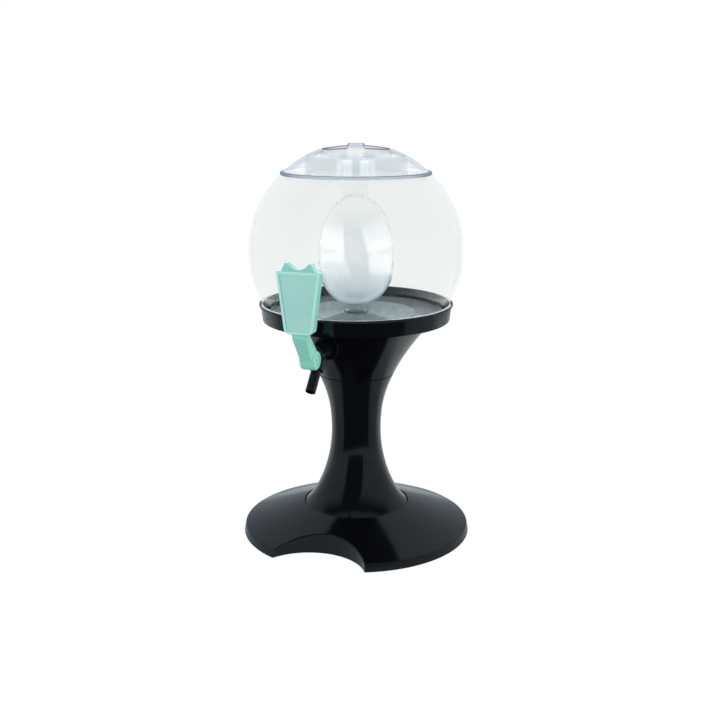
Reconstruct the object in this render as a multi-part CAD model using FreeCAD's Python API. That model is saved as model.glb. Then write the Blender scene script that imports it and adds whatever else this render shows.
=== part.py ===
# Cold drink dispenser: a clear ball-shaped tank on a waisted black stand, with a lever tap.
# Millimetres, +Z up. The origin is on the stand's axis at the level of the feet.
# The tap points to -Y. Places along the tap are given as "reach", the distance from the axis.
import FreeCAD, Part
import math
import os

os.makedirs("parts", exist_ok=True)

# Base
base_radius = 118.6
base_draft = 1.7
rim_height = 8.7
cone_height = 31.0
skirt_lift = 0.8
stand_wall = 2.6
notch_radius = 56.3
notch_depth = 38.4
rear_flat = 110.0
edge_round = 1.2
deck_drop = 3.6
deck_hole_radius = 20.0
plate_lift = 2.0
plate_thickness = 2.0
plate_gap = 0.3
foot_pad_radius = 8.0
foot_pad_inset = 16.0
base_screw_inset = 17.0
base_screw_angles = [-62.0, -118.0, 0.0, 180.0, 60.0, 120.0]
foot_angles = [-45.0, -135.0, -12.0, 192.0, 48.0, 132.0]

# Column
column_foot_radius = 54.2
column_foot_gap = 0.4
column_foot_edge = 2.6
waist_radius = 25.5
waist_height = 109.7
seam_radius = 39.1
seam_height = 170.2
seam_angle = 25.3
foot_angle = 52.5
foot_handle = 18.2
waist_low_handle = 33.9
waist_high_handle = 27.6
seam_handle = 20.0
foot_flange_thickness = 3.0
foot_flange_hole = 24.0
column_boss_ring = 36.0
column_boss_height = 14.0
column_screw_count = 4
column_screw_angle = 45.0
spigot_height = 12.0
spigot_gap = 0.2
seam_groove = 0.7

# Funnel and collar
funnel_top_radius = 78.4
funnel_top_angle = 42.4
funnel_top_handle = 25.0
funnel_flange_width = 20.0
funnel_flange_thickness = 3.2
collar_bottom = 225.9
collar_height = 17.5
collar_draft = 1.8
collar_wall = 2.2
collar_plate = 3.1
bead_height = 2.2
bead_stand_out = 1.4
collar_screw_count = 6
collar_screw_inset = 13.0
collar_screw_angle = 0.0

# Globe
globe_radius = 107.0
globe_wall = 2.5
globe_cut = 45.2
globe_corner = 4.0
globe_gap = 0.35
mouth_radius = 74.9
drain_radius = 9.5
drain_lip = 1.6
spigot_wall = 3.4
spigot_length = 12.0
pad_screw_gap = 2.5
pad_thickness = 3.6
seal_thickness = 1.5

# Outlet chamber under the globe
chamber_gap = 0.2
chamber_wall = 3.0
chamber_depth = 18.0
chamber_flange_width = 12.0
chamber_flange_thickness = 3.5
chamber_screw_count = 3
chamber_screw_angle = 90.0
socket_wall = 2.0
socket_overlap = 7.0

# Tap
tap_drop = 12.9
boss_radius = 12.0
boss_clear = 1.3
boss_stand_out = 1.1
shank_radius = 7.5
shank_gap = 0.5
shank_bore = 4.5
gasket_thickness = 1.0
washer_thickness = 1.2
nut_thickness = 6.0
nut_across_flats = 21.6
nut_room = 22.0
shank_past_nut = 9.0
flange_radius = 11.5
flange_thickness = 3.5
barrel_radius = 8.5
barrel_length = 26.0
valve_bore = 5.6
bonnet_radius = 8.9
bonnet_plug = 4.0
bonnet_wall = 2.0
bonnet_gap = 0.03
spout_angle = 40.8
spout_offset = 9.5
spout_radius = 4.9
spout_bore = 3.6
spout_length = 30.6
spout_seat_wall = 4.4
spout_socket_depth = 8.2
spout_socket_wall = 1.7

# Lever and valve
hub_radius = 9.1
hub_width = 15.6
hub_gap = 0.5
hub_recess = 0.8
hub_recess_radius = 5.4
hub_round = 2.6
hub_drop = 2.4
hub_cavity = 7.6
tongue_radius = 2.9
tongue_width = 6.6
tongue_gap = 0.3
pin_radius = 1.3
pin_gap = 0.05
crank = 4.2
drive_pin_radius = 0.8
drive_pin_gap = 0.25
stem_radius = 1.2
lever_swing = 40.0
plate_reach = 26.7
plate_bottom = 29.1
plate_height = 56.5
plate_top_width = 42.5
plate_bottom_width = 27.1
plate_thick = 8.6
plate_chamfer = 3.0
border = 2.6
panel_recess = 0.7
panel_thickness = 1.6
panel_gap = 0.1
neck_width = 13.6
neck_hub_width = 11.0
neck_toe = 6.0
horn_height = 9.4
horn_dip = 1.8
horn_spread = 11.4
horn_base = 7.8
horn_root = 6.0
horn_tip_radius = 1.7
horn_setback = 1.0

# Lid
lid_wall = 2.5
lid_gap = 0.2
lid_rim_height = 2.6
lid_skirt_gap = 2.2
lid_skirt_depth = 6.6
lid_skirt_wall = 2.0
lid_seal_height = 3.0
hole_wall = 2.0
slide_gap = 0.35
lip_width = 2.9
lip_height = 2.0

# Grip cap, ice core
cap_wall = 2.0
cap_edge_round = 0.5
cap_skirt_depth = 15.0
cap_floor_drop = 12.4
cap_seal_thickness = 0.8
bar_width = 14.8
bar_foot_width = 18.6
grip_turn = 20.2
pocket_radius = 25.0
pocket_centre = 8.0
core_radius = 40.3
core_lower = 55.3
core_upper = 57.5
core_floor_gap = 5.5
core_wall = 1.8
core_neck_radius = 13.0
core_neck_wall = 2.2
core_boss_wall = 2.8
core_boss_length = 18.0
core_pass_gap = 5.2

# Fasteners
screw_radius = 1.5
screw_head_radius = 2.9
screw_head_height = 1.5
screw_gap = 0.15
screw_bite = 7.0
screw_boss_radius = 3.6

# Heights and radii that follow from the sizes above
rim_radius = base_radius - base_draft
deck_height = cone_height - deck_drop
column_bottom = deck_height
collar_top = collar_bottom + collar_height
collar_seat = collar_bottom + collar_plate
globe_floor_under = collar_seat + pad_thickness
globe_floor = globe_floor_under + globe_wall
globe_centre = globe_floor + (globe_radius - globe_wall) - globe_cut
globe_inner = globe_radius - globe_wall
mouth_height = globe_centre + math.sqrt(globe_radius ** 2 - mouth_radius ** 2)
tap_height = collar_bottom - tap_drop
hub_height = tap_height - hub_drop


def sphere_radius_at(height, radius=globe_radius):
    return math.sqrt(max(radius ** 2 - (height - globe_centre) ** 2, 0.01))


def sphere_height_at(distance, radius=globe_radius):
    return globe_centre + math.sqrt(radius ** 2 - distance ** 2)


def point(x, y, z):
    return FreeCAD.Vector(x, y, z)


def profile_point(pair):
    return point(pair[0], 0, pair[1])


def funnel_profile(offset):
    """The seam's edge and the curve of the funnel's side, moved inwards by offset."""
    flare = math.radians(seam_angle)
    lean = math.radians(funnel_top_angle)
    seam = (seam_radius - offset, seam_height)
    top = (funnel_top_radius - offset, collar_bottom)
    side = ("curve",
            (seam[0] + seam_handle * math.sin(flare), seam[1] + seam_handle * math.cos(flare)),
            (top[0] - funnel_top_handle * math.sin(lean), top[1] - funnel_top_handle * math.cos(lean)), top)
    return seam, side


def funnel_radius_at(height, offset):
    seam, side = funnel_profile(offset)
    curve = Part.BezierCurve()
    curve.setPoles([profile_point(p) for p in (seam, side[1], side[2], side[3])])
    low, high = 0.0, 1.0
    while high - low > 1e-7:
        middle = (low + high) / 2
        if curve.value(middle).z < height:
            low = middle
        else:
            high = middle
    return curve.value(low).x


mouth_inner = sphere_radius_at(mouth_height, globe_inner)
collar_outer = sphere_radius_at(collar_top) + globe_gap + collar_wall
funnel_flange_inner = funnel_top_radius - funnel_flange_width
funnel_screw_ring = funnel_top_radius - collar_screw_inset
pad_radius = funnel_screw_ring - screw_head_radius - pad_screw_gap
spigot_radius = drain_radius + spigot_wall
chamber_bore = spigot_radius + chamber_gap
chamber_outer = chamber_bore + chamber_wall
chamber_flange_radius = chamber_outer + chamber_flange_width
chamber_screw_ring = chamber_outer + chamber_flange_width / 2
chamber_neck_top = globe_floor_under - seal_thickness
spigot_bottom = globe_floor_under - spigot_length
chamber_floor = spigot_bottom - chamber_depth

boss_face = funnel_top_radius + boss_stand_out
boss_inner_face = funnel_radius_at(tap_height - boss_radius, stand_wall) - boss_clear
flange_back = boss_face + gasket_thickness
flange_front = flange_back + flange_thickness
barrel_end = flange_front + barrel_length
bonnet_back = barrel_end - bonnet_plug
bonnet_front = barrel_end + bonnet_wall
hub_reach = bonnet_front + hub_gap + hub_radius
nut_back = boss_inner_face - washer_thickness - nut_thickness
shank_end = nut_back - shank_past_nut
socket_end = shank_end + socket_overlap
valve_seat = flange_front + 2.0
spout_root = flange_front + spout_offset
stem_height = hub_height + crank
spout_seat = barrel_radius + spout_seat_wall
spout_mouth = spout_seat + spout_socket_depth
valve_travel = crank * math.sin(math.radians(lever_swing))

lid_bottom = mouth_height + lid_gap
lid_rim_top = lid_bottom + lid_rim_height
skirt_outer = mouth_inner - lid_skirt_gap
skirt_inner = skirt_outer - lid_skirt_wall
cap_lip_inner = core_radius + core_pass_gap
cap_radius = cap_lip_inner + lip_width - slide_gap
hole_inner = cap_radius + slide_gap
hole_outer = hole_inner + hole_wall
dome_top = globe_centre + globe_radius
cap_floor = dome_top - cap_floor_drop
cup_top = cap_floor
cup_under = cup_top - cap_wall
cup_bottom = cup_top - cap_wall - cap_skirt_depth
lip_top = cup_bottom - cap_seal_thickness
lip_bottom = lip_top - lip_height
core_widest = globe_floor + core_floor_gap + core_lower
core_shoulder = core_widest + core_upper * math.sqrt(1 - (core_neck_radius / core_radius) ** 2)
core_top = cup_under - seal_thickness


def lathe(*pieces):
    """Turn a closed outline of (radius, height) pairs about Z.

    A piece is a pair, or ("arc", middle, end), or ("curve", control, control, end).
    """
    edges = []
    here = pieces[0]
    for piece in pieces[1:] + (pieces[0],):
        if piece[0] == "arc":
            end = piece[2]
            arc = Part.Arc(profile_point(here), profile_point(piece[1]), profile_point(end))
            edges.append(arc.toShape())
        elif piece[0] == "curve":
            end = piece[3]
            curve = Part.BezierCurve()
            curve.setPoles([profile_point(p) for p in (here, piece[1], piece[2], end)])
            edges.append(curve.toShape())
        else:
            end = piece
            if math.dist(here, end) > 1e-6:
                edges.append(Part.makeLine(profile_point(here), profile_point(end)))
        here = end
    face = Part.Face(Part.Wire(edges))
    solid = face.revolve(point(0, 0, 0), point(0, 0, 1), 360)
    if solid.Volume < 0:
        solid.reverse()
    return solid


def disc(radius, low, high, x=0.0, y=0.0):
    return Part.makeCylinder(radius, high - low, point(x, y, low))


def tube(outer, inner, low, high, x=0.0, y=0.0):
    return disc(outer, low, high, x, y).cut(disc(inner, low, high, x, y))


def box(low, high):
    return Part.makeBox(high[0] - low[0], high[1] - low[1], high[2] - low[2], point(*low))


def tap_rod(radius, start, end, height=tap_height, x=0.0):
    """A round bar along the tap's axis, from one reach to a larger one."""
    return Part.makeCylinder(radius, end - start, point(x, -start, height), point(0, -1, 0))


def cross_rod(radius, half_width, reach, height):
    return Part.makeCylinder(radius, 2 * half_width, point(-half_width, -reach, height), point(1, 0, 0))


def around(ring, angles):
    return [(ring * math.cos(math.radians(a)), ring * math.sin(math.radians(a))) for a in angles]


def evenly(count, start=0.0):
    return [start + 360.0 * i / count for i in range(count)]


def base_screw_places():
    return around(base_radius - base_screw_inset, base_screw_angles)


def column_screw_places():
    return around(column_boss_ring, evenly(column_screw_count, column_screw_angle))


def collar_screw_places():
    return around(funnel_screw_ring, evenly(collar_screw_count, collar_screw_angle))


def chamber_screw_places():
    return around(chamber_screw_ring, evenly(chamber_screw_count, chamber_screw_angle))


def prism(corners, way):
    """A flat polygon drawn out along way."""
    solid = Part.Face(Part.makePolygon(corners + corners[:1])).extrude(way)
    if solid.Volume < 0:
        solid.reverse()
    return solid


def fuse(shapes):
    return shapes[0].fuse(shapes[1:]).removeSplitter() if len(shapes) > 1 else shapes[0]


def cut(shape, tools):
    return shape.cut(Part.makeCompound(tools)) if tools else shape


def save(name, shape):
    solids = shape.Solids
    result = solids[0] if len(solids) == 1 else Part.makeCompound(solids)
    print(name, len(solids), "solid(s), volume", round(sum(s.Volume for s in solids), 1), result.isValid())
    result.exportStep("parts/" + name + ".step")


def screw(x, y, seat, direction, length):
    """A pan-head screw whose head rests on the seat height and whose shank runs along direction."""
    way = point(0, 0, direction)
    head = Part.makeCylinder(screw_head_radius, screw_head_height, point(x, y, seat), way * -1)
    socket = Part.makeCylinder(screw_head_radius * 0.5, screw_head_height * 0.6,
                               point(x, y, seat - direction * screw_head_height), way)
    shank = Part.makeCylinder(screw_radius, length, point(x, y, seat), way)
    return head.fuse(shank).cut(socket)


# Outline of the base
def base_outline(grow, low, high):
    """What the base keeps: a round disc less the front notch and the rear flat, shrunk by grow."""
    notch_centre = base_radius - notch_depth + notch_radius
    body = disc(base_radius + grow, low, high)
    notch = disc(notch_radius - grow, low - 1, high + 1, 0, -notch_centre)
    flat = box((-base_radius, rear_flat + grow, low - 1), (base_radius, rear_flat + base_radius, high + 1))
    return cut(body, [notch, flat])


def cone_height_at(radius):
    share = (rim_radius - radius) / (rim_radius - column_foot_radius)
    return rim_height + (cone_height - rim_height) * share


def side_radius_at(height):
    return base_radius - base_draft * height / rim_height


def base_solid(inset):
    """The solid form of the base, with every outer face moved inwards by inset."""
    drop = inset * 1.07
    seat_radius = column_foot_radius + column_foot_gap + inset
    corner = rim_height - drop
    top = lathe((0, 0), (base_radius - inset, 0), (side_radius_at(corner) - inset, corner),
                (seat_radius, cone_height_at(seat_radius) - drop),
                (seat_radius, deck_height - inset), (0, deck_height - inset))
    outline = base_outline(-inset, -1, cone_height + 5)
    return top.common(outline)


def make_base_shell():
    outer = base_solid(0).common(disc(base_radius + 5, skirt_lift, cone_height + 5))
    rounded = round_rim(outer)
    shell = rounded.cut(base_solid(stand_wall).common(disc(base_radius, -1, cone_height)))
    bosses = []
    holes = []
    for x, y in base_screw_places():
        column = disc(screw_boss_radius, plate_lift + plate_thickness, cone_height, x, y)
        bosses.append(column.common(base_solid(stand_wall / 2)))
        holes.append(disc(screw_radius + 0.02, 0, plate_lift + plate_thickness + screw_bite, x, y))
    holes.append(disc(deck_hole_radius, 0, cone_height))
    for x, y in column_screw_places():
        holes.append(disc(screw_radius + screw_gap, 0, cone_height, x, y))
    return cut(fuse([shell] + bosses), holes)


def round_rim(solid):
    """Soften the top edge of the rim, the notch and the rear flat."""
    edges = []
    for edge in solid.Edges:
        box_of_edge = edge.BoundBox
        outside = box_of_edge.ZMin > rim_height - 0.5
        from_axis = min(math.hypot(v.X, v.Y) for v in edge.Vertexes) if edge.Vertexes else 0
        if outside and from_axis > column_foot_radius + 10 and box_of_edge.ZMax < cone_height - 1:
            edges.append(edge)
    return solid.makeFillet(edge_round, edges)


def make_base_plate():
    gap = stand_wall + plate_gap
    low = plate_lift
    high = plate_lift + plate_thickness
    plate = base_outline(-gap, low, high)
    plate = plate.common(disc(side_radius_at(high) - gap, low, high))
    holes = [disc(screw_radius + screw_gap, low - 1, high + 1, x, y)
             for x, y in base_screw_places()]
    return cut(plate, holes)


def make_rubber_feet():
    ring = base_radius - foot_pad_inset
    pads = [disc(foot_pad_radius, 0, plate_lift, x, y) for x, y in around(ring, foot_angles)]
    pads.append(disc(foot_pad_radius, 0, plate_lift))
    pads = [pad.makeFillet(0.6, [e for e in pad.Edges if e.BoundBox.ZMax < 0.01]) for pad in pads]
    return Part.makeCompound(pads)


def make_base_screws():
    seat = plate_lift
    length = plate_thickness + screw_bite - 1
    return Part.makeCompound([screw(x, y, seat, 1, length)
                              for x, y in base_screw_places()])


# Stand column and head
def column_profile(offset):
    """Poles of the two curves of the column's side, moved inwards by offset."""
    foot = (column_foot_radius - offset, column_bottom + column_foot_edge)
    waist = (waist_radius - offset, waist_height)
    seam = (seam_radius - offset, seam_height)
    lean = math.radians(foot_angle)
    flare = math.radians(seam_angle)
    low = ("curve",
           (foot[0] - foot_handle * math.sin(lean), foot[1] + foot_handle * math.cos(lean)),
           (waist[0], waist[1] - waist_low_handle), waist)
    high = ("curve",
            (waist[0], waist[1] + waist_high_handle),
            (seam[0] - seam_handle * math.sin(flare), seam[1] - seam_handle * math.cos(flare)), seam)
    return foot, low, high, seam


def make_column():
    foot, low, high, seam = column_profile(0)
    groove_top = (seam_radius - seam_groove, seam_height)
    groove = (seam_radius - seam_groove * 0.45, seam_height - seam_groove)
    outer = lathe((0, column_bottom), (column_foot_radius, column_bottom), foot, low,
                  high, (0, seam_height))
    chamfer = tube(seam_radius + 1, groove_top[0], seam_height - seam_groove, seam_height)
    cone = lathe((0, seam_height - seam_groove), groove, groove_top, (0, seam_height))
    outer = outer.cut(chamfer).fuse(cone)
    i_foot, i_low, i_high, i_seam = column_profile(stand_wall)
    under = column_bottom + foot_flange_thickness
    inner = lathe((0, under), (i_foot[0], under), i_foot, i_low, i_high, (0, i_seam[1]))
    spigot_outer = seam_radius - stand_wall - spigot_gap
    spigot = tube(spigot_outer, spigot_outer - stand_wall, seam_height - 4, seam_height + spigot_height)
    shelf = tube(seam_radius - 1, spigot_outer - stand_wall, seam_height - 4, seam_height)
    shell = outer.cut(inner).fuse([spigot, shelf.common(outer)])
    bosses = []
    holes = [disc(foot_flange_hole, column_bottom - 1, under + 1)]
    for x, y in column_screw_places():
        bosses.append(disc(screw_boss_radius, column_bottom, column_bottom + column_boss_height, x, y))
        holes.append(disc(screw_radius + 0.02, column_bottom - 1, column_bottom + screw_bite + 1, x, y))
    return cut(fuse([shell] + bosses), holes)


def make_column_screws():
    seat = deck_height - stand_wall
    return Part.makeCompound([screw(x, y, seat, 1, stand_wall + screw_bite - 0.5)
                              for x, y in column_screw_places()])


def make_funnel():
    seam, side = funnel_profile(0)
    outer = lathe((0, seam_height), seam, side, (0, collar_bottom))
    in_seam, in_side = funnel_profile(stand_wall)
    inner = lathe((0, seam_height), in_seam, in_side, (0, collar_bottom))
    flange_low = collar_bottom - funnel_flange_thickness
    flange = tube(funnel_top_radius - 3, funnel_flange_inner, flange_low, collar_bottom)
    bosses = [disc(screw_boss_radius, collar_bottom - screw_bite - 3, collar_bottom, x, y)
              for x, y in collar_screw_places()]
    holes = [disc(screw_radius + 0.02, collar_bottom - screw_bite - 1, collar_bottom + 1, x, y)
             for x, y in collar_screw_places()]
    tap_boss = tap_rod(boss_radius, boss_inner_face, boss_face)
    tap_boss = tap_boss.common(disc(base_radius, seam_height, collar_bottom))
    shell = fuse([outer.cut(inner), flange.common(outer)] + [b.common(outer) for b in bosses] + [tap_boss])
    nut_pocket = tap_rod(boss_radius + 2.0, boss_inner_face - nut_room, boss_inner_face)
    holes.append(nut_pocket.common(inner))
    holes.append(tap_rod(shank_radius + shank_gap, boss_inner_face - 1, boss_face + 5))
    return cut(shell, holes)


def make_collar():
    bottom_radius = collar_outer - collar_draft
    bead_low = collar_top - bead_height
    bead_radius = collar_outer + bead_stand_out
    seat_wall = sphere_radius_at(globe_floor_under + globe_corner) + globe_gap
    mid_height = (collar_top + globe_floor_under + globe_corner) / 2
    outer = lathe((0, collar_bottom), (bottom_radius - 0.8, collar_bottom),
                  (bottom_radius, collar_bottom + 0.8),
                  (collar_outer, bead_low - 0.5), (bead_radius, bead_low), (bead_radius, collar_top - 0.6),
                  (bead_radius - 0.6, collar_top), (0, collar_top))
    bowl = lathe((0, collar_seat), (seat_wall - 5.5, collar_seat), (seat_wall - 5.5, globe_floor_under),
                 (seat_wall - 0.5, globe_floor_under),
                 (seat_wall, globe_floor_under + globe_corner),
                 ("arc", (sphere_radius_at(mid_height) + globe_gap, mid_height),
                  (sphere_radius_at(collar_top) + globe_gap, collar_top)),
                 (0, collar_top))
    holes = [disc(chamber_outer + chamber_gap, collar_bottom - 1, collar_seat + 1)]
    for x, y in collar_screw_places():
        holes.append(disc(screw_radius + screw_gap, collar_bottom - 1, collar_seat + 1, x, y))
    for x, y in chamber_screw_places():
        holes.append(disc(screw_radius + screw_gap, collar_bottom - 1, collar_seat + 1, x, y))
    return cut(outer.cut(bowl), holes)


def make_collar_screws():
    return Part.makeCompound([screw(x, y, collar_seat, -1, collar_plate + screw_bite - 0.5)
                              for x, y in collar_screw_places()])


def make_seat_pad():
    pad = tube(pad_radius, chamber_outer + 1.0, collar_seat, globe_floor_under)
    head_room = screw_head_radius + 0.4
    holes = [disc(head_room, collar_seat, collar_seat + screw_head_height + 0.4, x, y)
             for x, y in chamber_screw_places()]
    return cut(pad, holes)


# Globe
def make_globe():
    corner_top = globe_floor_under + globe_corner
    corner_radius = sphere_radius_at(corner_top)
    floor_edge = corner_radius - globe_corner
    diagonal = (corner_radius - globe_corner * 0.29 - 0.2, globe_floor_under + globe_corner * 0.29)
    equator = globe_centre
    inner_low = sphere_radius_at(globe_floor + 1.5, globe_inner)
    return lathe((drain_radius, spigot_bottom), (spigot_radius, spigot_bottom),
                 (spigot_radius, globe_floor_under), (floor_edge, globe_floor_under),
                 ("arc", diagonal, (corner_radius, corner_top)),
                 ("arc", (globe_radius, equator), (mouth_radius, mouth_height)),
                 (mouth_inner, mouth_height),
                 ("arc", (globe_inner, equator), (inner_low, globe_floor + 1.5)),
                 ("arc", (inner_low - 1.2, globe_floor + 0.35), (inner_low - 3.0, globe_floor)),
                 (drain_radius + drain_lip, globe_floor),
                 ("arc", (drain_radius + drain_lip * 0.3, globe_floor - drain_lip * 0.3),
                  (drain_radius, globe_floor - drain_lip)))


def make_globe_seal():
    return tube(chamber_outer - 0.4, spigot_radius + 0.1, chamber_neck_top, globe_floor_under)


def make_outlet_chamber():
    outer = disc(chamber_outer, chamber_floor - chamber_wall, chamber_neck_top)
    flange = disc(chamber_flange_radius, collar_bottom - chamber_flange_thickness, collar_bottom)
    bosses = [disc(screw_boss_radius, collar_bottom - screw_bite - 2, collar_bottom, x, y)
              for x, y in chamber_screw_places()]
    socket_outer = shank_radius + 0.1 + socket_wall
    socket = tap_rod(socket_outer, 0, socket_end)
    body = fuse([outer, flange, socket] + bosses)
    tools = [disc(chamber_bore, spigot_bottom - 0.3, chamber_neck_top + 1),
             disc(chamber_bore - 1.2, chamber_floor, spigot_bottom),
             tap_rod(shank_bore, 0, socket_end),
             tap_rod(shank_radius + 0.1, shank_end - 0.3, socket_end + 1)]
    for x, y in chamber_screw_places():
        tools.append(disc(screw_radius + 0.02, collar_bottom - screw_bite, collar_bottom + 1, x, y))
    return cut(body, tools)


def make_chamber_screws():
    return Part.makeCompound([screw(x, y, collar_seat, -1, collar_plate + screw_bite - 1)
                              for x, y in chamber_screw_places()])


# Tap
def spout_place(distance):
    """Reach and height of a point on the spout's axis."""
    lean = math.radians(spout_angle)
    return spout_root + distance * math.sin(lean), tap_height - distance * math.cos(lean)


def spout_rod(radius, start, length):
    lean = math.radians(spout_angle)
    reach, height = spout_place(start)
    way = point(0, -math.sin(lean), -math.cos(lean))
    return Part.makeCylinder(radius, length, point(0, -reach, height), way)


def make_tap_body():
    shank = tap_rod(shank_radius, shank_end, flange_back)
    flange = tap_rod(flange_radius, flange_back, flange_front)
    barrel = tap_rod(barrel_radius, flange_front, barrel_end)
    rib = tap_rod(barrel_radius + 0.9, flange_front + 2.2, flange_front + 3.6)
    stub = spout_rod(spout_radius + spout_socket_wall, 0, spout_mouth)
    stub = stub.makeFillet(0.6, [e for e in stub.Edges if e.BoundBox.ZMax < tap_height - spout_seat * 0.5])
    body = fuse([shank, flange, barrel, rib, stub])
    seal_groove = tap_rod(shank_radius + 1, shank_end + 2.0, shank_end + 4.0)
    seal_groove = seal_groove.cut(tap_rod(shank_radius - 1.3, shank_end + 1, shank_end + 5))
    return cut(body, [tap_rod(shank_bore, shank_end - 1, valve_seat + 1),
                      tap_rod(valve_bore, valve_seat, barrel_end + 1),
                      spout_rod(spout_bore, 0, spout_seat + 1),
                      spout_rod(spout_radius + 0.05, spout_seat, spout_socket_depth + 5),
                      tap_rod(bonnet_radius + 0.3, barrel_end, hub_reach),
                      seal_groove])


def make_shank_seal():
    low = shank_end + 2.0
    return tap_rod(shank_radius + 0.05, low, low + 2.0).cut(tap_rod(shank_radius - 1.3, low - 1, low + 3))


def make_tap_gasket():
    return tap_rod(flange_radius, boss_face, flange_back).cut(
        tap_rod(shank_radius + 0.1, boss_face - 1, flange_back + 1))


def make_tap_washer():
    low = boss_inner_face - washer_thickness
    return tap_rod(boss_radius - 0.6, low, boss_inner_face).cut(
        tap_rod(shank_radius + 0.1, low - 1, boss_inner_face + 1))


def make_tap_nut():
    corner = nut_across_flats / math.sqrt(3)
    corners = [point(corner * math.cos(math.radians(60 * i)), 0, corner * math.sin(math.radians(60 * i)))
               for i in range(6)]
    hexagon = prism(corners, point(0, -nut_thickness, 0))
    hexagon.translate(point(0, -nut_back, tap_height))
    return hexagon.cut(tap_rod(shank_radius + 0.05, nut_back - 1, nut_back + nut_thickness + 1))


def make_spout():
    start = spout_seat + 0.1
    bore = spout_rod(spout_bore, start - 1, spout_length + 2)
    spout = spout_rod(spout_radius, start, spout_length).cut(bore)
    lip = [e for e in spout.Edges if e.BoundBox.ZMax < tap_height - spout_mouth]
    return spout.makeFillet(0.35, [e for e in lip if e.Curve.TypeId.endswith("Circle")])


def make_tap_bonnet():
    ring = tap_rod(bonnet_radius, barrel_end, bonnet_front)
    ring = ring.makeFillet(0.5, [e for e in ring.Edges if e.Curve.TypeId.endswith("Circle")])
    plug = tap_rod(valve_bore - bonnet_gap, bonnet_back, barrel_end + 1.0)
    tongue = fuse([cross_rod(tongue_radius, tongue_width / 2, hub_reach, hub_height),
                   box((-tongue_width / 2, -hub_reach, hub_height - tongue_radius),
                       (tongue_width / 2, -bonnet_front + 0.5, hub_height + tongue_radius))])
    return cut(fuse([ring, plug, tongue]), [
        cross_rod(pin_radius + pin_gap, tongue_width, hub_reach, hub_height),
        tap_rod(stem_radius + 0.1, bonnet_back - 1, hub_reach + hub_radius, stem_height),
        tap_rod(stem_radius + 1.3, bonnet_back - 1, bonnet_back + 1.0, stem_height)])


def make_stem_seal():
    return tap_rod(stem_radius + 1.2, bonnet_back, bonnet_back + 0.9, stem_height).cut(
        tap_rod(stem_radius + 0.05, bonnet_back - 1, bonnet_back + 3, stem_height))


def make_valve_stem():
    head = tap_rod(valve_bore - 0.6, valve_seat + 2.3, valve_seat + 5.0)
    rod = tap_rod(stem_radius, valve_seat + 4.0, hub_reach - 1.5, stem_height)
    prong = 1.0
    inside = drive_pin_radius + drive_pin_gap
    fork_low = hub_height + tongue_radius + 0.2
    fork = box((-stem_radius, -(hub_reach + inside + prong), fork_low),
               (stem_radius, -(hub_reach - inside - prong), stem_height + 1.5))
    gap = box((-5, -(hub_reach + inside), fork_low - 1), (5, -(hub_reach - inside), stem_height + 0.95))
    nose = tap_rod(1.6, valve_seat - 0.6, valve_seat + 3.0)
    return cut(fuse([head, rod, fork, nose]), [gap])


def make_valve_seal():
    return tap_rod(valve_bore - 0.3, valve_seat + 0.05, valve_seat + 2.3).cut(
        tap_rod(1.65, valve_seat - 1, valve_seat + 5))


# Lever
def plate_outline(shrink, front, back):
    """The trapezoid of the handle as a block between two reaches."""
    low = hub_height + plate_bottom + shrink
    high = hub_height + plate_bottom + plate_height - shrink
    slant = (plate_top_width - plate_bottom_width) / 2 / plate_height
    side = shrink * math.hypot(1, slant)

    def half(height):
        return plate_bottom_width / 2 + slant * (height - hub_height - plate_bottom) - side

    bevel = max(plate_chamfer - shrink, 0.4)
    right = [(half(low) - bevel, low), (half(low + bevel), low + bevel), (half(high - 1.0), high - 1.0),
             (half(high) - 1.0, high)]
    corners = [point(x, -front, z) for x, z in right] + [point(-x, -front, z) for x, z in reversed(right)]
    return prism(corners, point(0, front - back, 0))


def make_horns(back, front):
    """A crest along the plate's top edge: two blunt horns with a round dip between them."""
    top = hub_height + plate_bottom + plate_height
    left_foot, left_tip, dip, right_tip, right_foot = [
        point(x, -front, top + rise) for x, rise in
        ((-horn_spread - horn_base, -horn_root), (-horn_spread, horn_height), (0, horn_dip),
         (horn_spread, horn_height), (horn_spread + horn_base, -horn_root))]
    edges = [Part.makeLine(left_foot, left_tip), Part.Arc(left_tip, dip, right_tip).toShape(),
             Part.makeLine(right_tip, right_foot), Part.makeLine(right_foot, left_foot)]
    crest = Part.Face(Part.Wire(edges)).extrude(point(0, front - back, 0))
    tips = [e for e in crest.Edges if e.BoundBox.ZMin > left_tip.z - 0.01]
    return crest.makeFillet(horn_tip_radius, tips)


def make_lever():
    front = hub_reach + plate_reach
    back = front - plate_thick
    plate = plate_outline(0, back, front)
    rim = [e for e in plate.Edges if e.BoundBox.YMax < -front + 0.01]
    plate = plate.makeFillet(0.8, rim)
    hub = cross_rod(hub_radius, hub_width / 2, hub_reach, hub_height)
    hub = hub.makeFillet(hub_round, [e for e in hub.Edges if e.Curve.TypeId.endswith("Circle")])
    neck = neck_block(front, hub_height + plate_bottom + 2.0)
    horns = make_horns(back, front - horn_setback)
    body = fuse([plate, hub, neck, horns])
    pocket = plate_outline(border, front - panel_recess - panel_thickness, front + 1)
    cavity = cross_rod(hub_cavity, tongue_width / 2 + tongue_gap, hub_reach, hub_height)
    drive = cross_rod(drive_pin_radius, hub_width / 2 - 1.0, hub_reach, hub_height + crank)
    body = cut(body, [pocket, cavity, rear_sector(),
                      cross_rod(pin_radius + 0.01, hub_width, hub_reach, hub_height)])
    recesses = [cross_rod(hub_recess_radius, hub_recess, hub_reach, hub_height) for _ in (0, 1)]
    for side, recess in zip((-1, 1), recesses):
        recess.translate(point(side * hub_width / 2, 0, 0))
    return fuse([cut(body, recesses), drive])


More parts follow.
